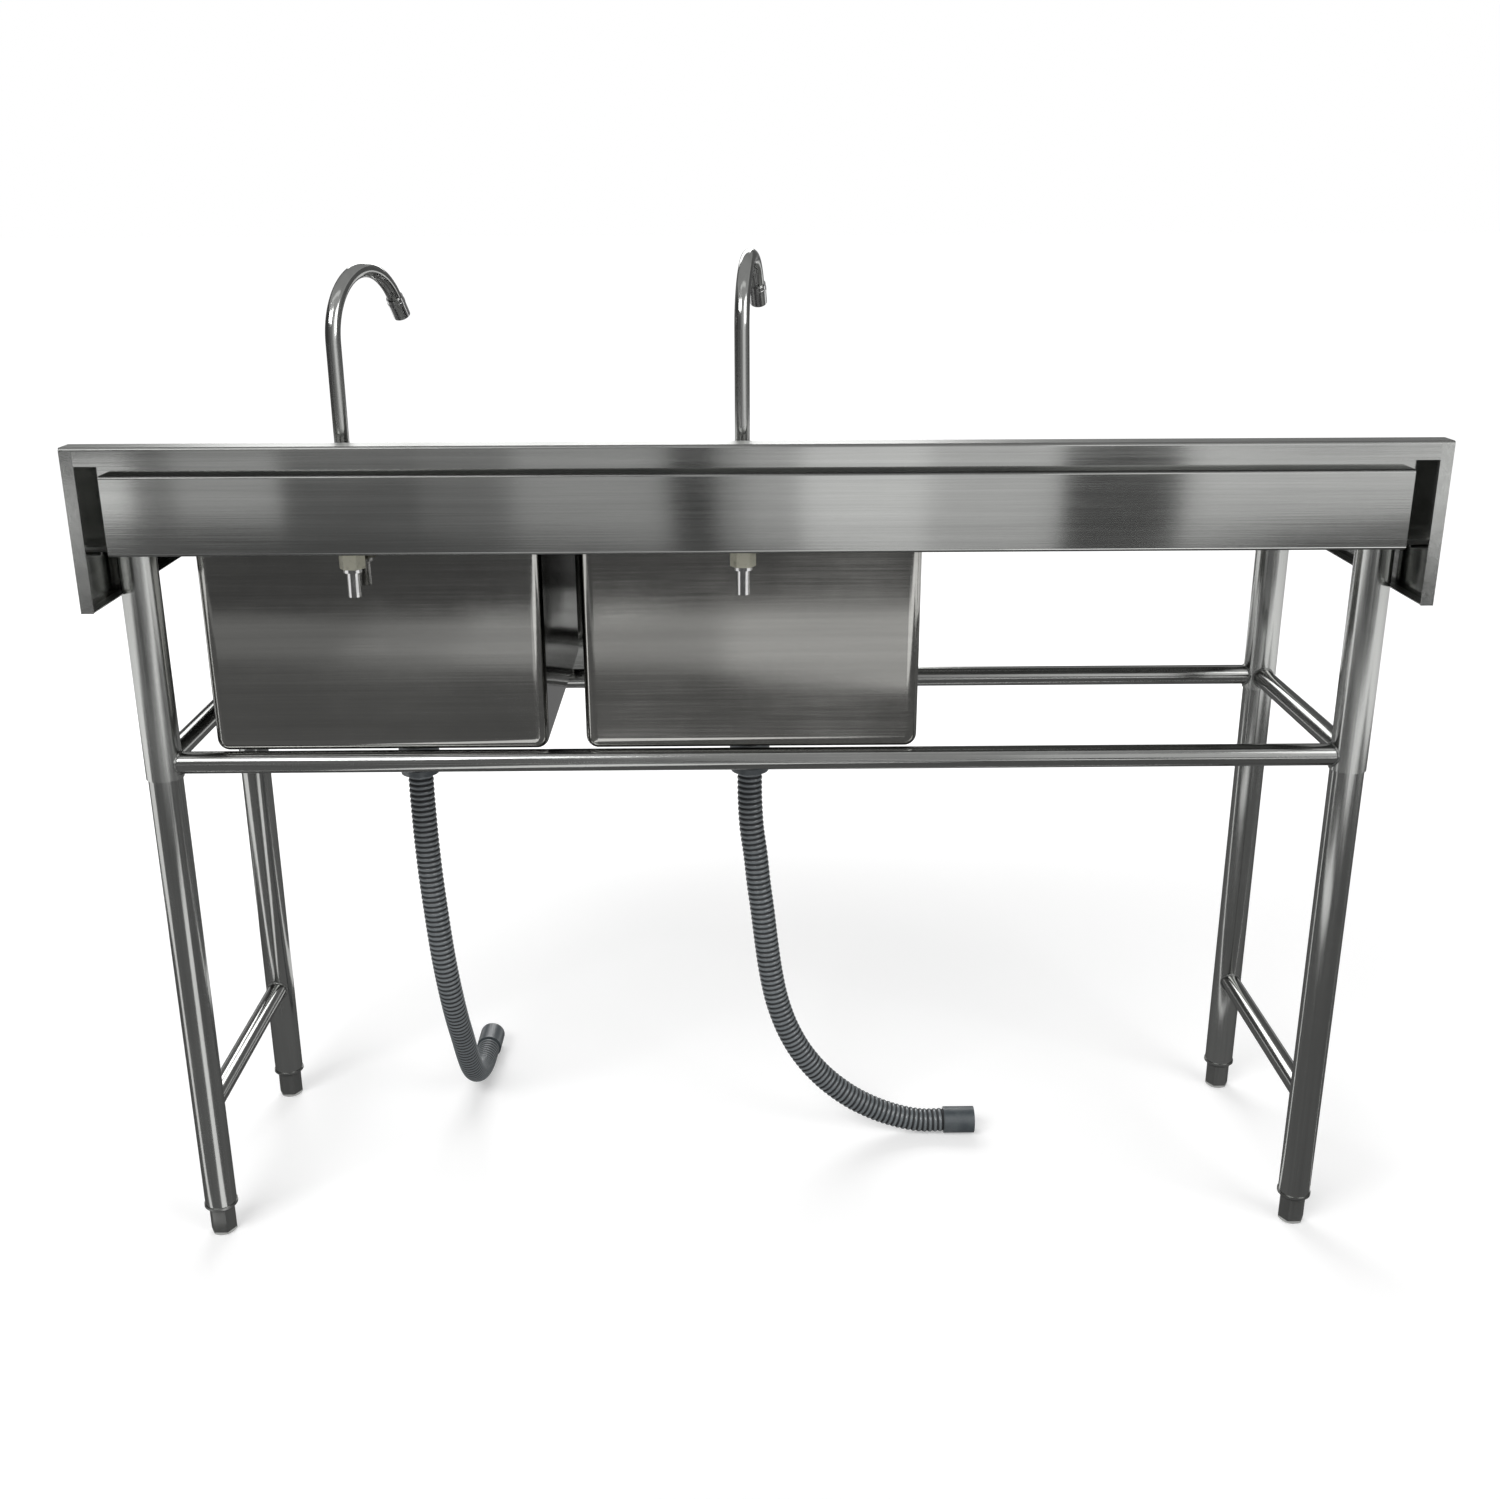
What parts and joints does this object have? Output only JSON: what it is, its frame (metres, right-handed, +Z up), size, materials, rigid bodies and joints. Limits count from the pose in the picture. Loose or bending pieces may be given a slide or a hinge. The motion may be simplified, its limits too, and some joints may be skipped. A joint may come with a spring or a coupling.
{
  "type": "double-bowl pot sink",
  "caption": "Stainless steel sink table with two deep bowls, a side drainboard, swivelling gooseneck taps, ribbed waste hoses and levelling feet.",
  "frame": {"origin": "on the floor, below the centre of the worktop's outline", "axes": "+Z up, +Y towards the rear upstand and the taps, +X to the right of the user, who stands at -Y"},
  "size_m": [1.4, 0.562, 1.1758],
  "materials": {
    "brushed_sheet": "fine horizontal brushing, satin",
    "polished_tube": "polished along the tube, semi-bright",
    "bowl_steel": "dull pressed stainless, satin",
    "chrome_plate": "bright chrome plate",
    "valve_brass": "machined",
    "black_rubber": "matte",
    "ivory_plastic": "moulded, matte",
    "hose_plastic": "ribbed flexible hose, satin",
    "foot_steel": "turned and milled, dull"
  },
  "bodies": {
    "sink": {"sink_top": "brushed_sheet", "left_side_panel": "brushed_sheet", "right_side_panel": "brushed_sheet", "upstand_channel": "brushed_sheet", "front_skirt": "brushed_sheet", "left_bowl": "bowl_steel", "right_bowl": "bowl_steel", "left_end_stiffener": "brushed_sheet", "right_end_stiffener": "brushed_sheet", "drainboard_stiffener": "brushed_sheet", "bowl_edge_stiffener": "brushed_sheet", "rear_left_sleeve": "polished_tube", "rear_right_sleeve": "polished_tube", "front_left_sleeve": "polished_tube", "front_right_sleeve": "polished_tube", "rear_rail": "polished_tube", "front_rail": "polished_tube", "left_side_rail": "polished_tube", "right_side_rail": "polished_tube", "rear_left_leg": "polished_tube", "rear_right_leg": "polished_tube", "front_left_leg": "polished_tube", "front_right_leg": "polished_tube", "left_crossbar": "polished_tube", "right_crossbar": "polished_tube", "foot_collars": "foot_steel", "left_tap_gasket": "black_rubber", "left_tap_body": "chrome_plate", "left_tap_cartridge": "valve_brass", "left_tap_gland": "chrome_plate", "left_tap_locknut": "ivory_plastic", "right_tap_gasket": "black_rubber", "right_tap_body": "chrome_plate", "right_tap_cartridge": "valve_brass", "right_tap_gland": "chrome_plate", "right_tap_locknut": "ivory_plastic", "left_strainer": "bowl_steel", "left_strainer_gasket": "black_rubber", "left_strainer_ring": "foot_steel", "left_hose_collar": "hose_plastic", "right_strainer": "bowl_steel", "right_strainer_gasket": "black_rubber", "right_strainer_ring": "foot_steel", "right_hose_collar": "hose_plastic", "left_hose": "hose_plastic", "left_hose_cuff": "hose_plastic", "right_hose": "hose_plastic", "right_hose_cuff": "hose_plastic"},
    "left_spout": {"left_tap_spout": "polished_tube", "left_tap_aerator": "chrome_plate"},
    "left_handle": {"left_tap_handle": "chrome_plate"},
    "left_strainer_basket": {"left_basket": "chrome_plate"},
    "right_spout": {"right_tap_spout": "polished_tube", "right_tap_aerator": "chrome_plate"},
    "right_handle": {"right_tap_handle": "chrome_plate"},
    "right_strainer_basket": {"right_basket": "chrome_plate"},
    "rear_left_foot_screw": {"rear_left_foot": "foot_steel"},
    "rear_right_foot_screw": {"rear_right_foot": "foot_steel"},
    "front_left_foot_screw": {"front_left_foot": "foot_steel"},
    "front_right_foot_screw": {"front_right_foot": "foot_steel"}
  },
  "joints": [
    {"name": "left_spout_swivel", "type": "hinge", "parent": "sink", "child": "left_spout", "pos_m": [0.017, 0.198, 0.954], "axis": [0, 0, 1], "range_deg": [-82, 98]},
    {"name": "left_handle_turn", "type": "hinge", "parent": "sink", "child": "left_handle", "pos_m": [0.017, 0.173, 0.918], "axis": [0, -1, 0], "range_deg": [0, 90]},
    {"name": "left_basket_lift", "type": "slide", "parent": "sink", "child": "left_strainer_basket", "axis": [0, 0, 1], "range_m": [0, 0.12]},
    {"name": "right_spout_swivel", "type": "hinge", "parent": "sink", "child": "right_spout", "pos_m": [0.433, 0.198, 0.954], "axis": [0, 0, 1], "range_deg": [-71, 109]},
    {"name": "right_handle_turn", "type": "hinge", "parent": "sink", "child": "right_handle", "pos_m": [0.433, 0.173, 0.918], "axis": [0, -1, 0], "range_deg": [0, 90]},
    {"name": "right_basket_lift", "type": "slide", "parent": "sink", "child": "right_strainer_basket", "axis": [0, 0, 1], "range_m": [0, 0.12]},
    {"name": "rear_left_foot_adjust", "type": "slide", "parent": "sink", "child": "rear_left_foot_screw", "axis": [0, 0, -1], "range_m": [0, 0.02]},
    {"name": "rear_right_foot_adjust", "type": "slide", "parent": "sink", "child": "rear_right_foot_screw", "axis": [0, 0, -1], "range_m": [0, 0.02]},
    {"name": "front_left_foot_adjust", "type": "slide", "parent": "sink", "child": "front_left_foot_screw", "axis": [0, 0, -1], "range_m": [0, 0.02]},
    {"name": "front_right_foot_adjust", "type": "slide", "parent": "sink", "child": "front_right_foot_screw", "axis": [0, 0, -1], "range_m": [0, 0.02]}
  ]
}
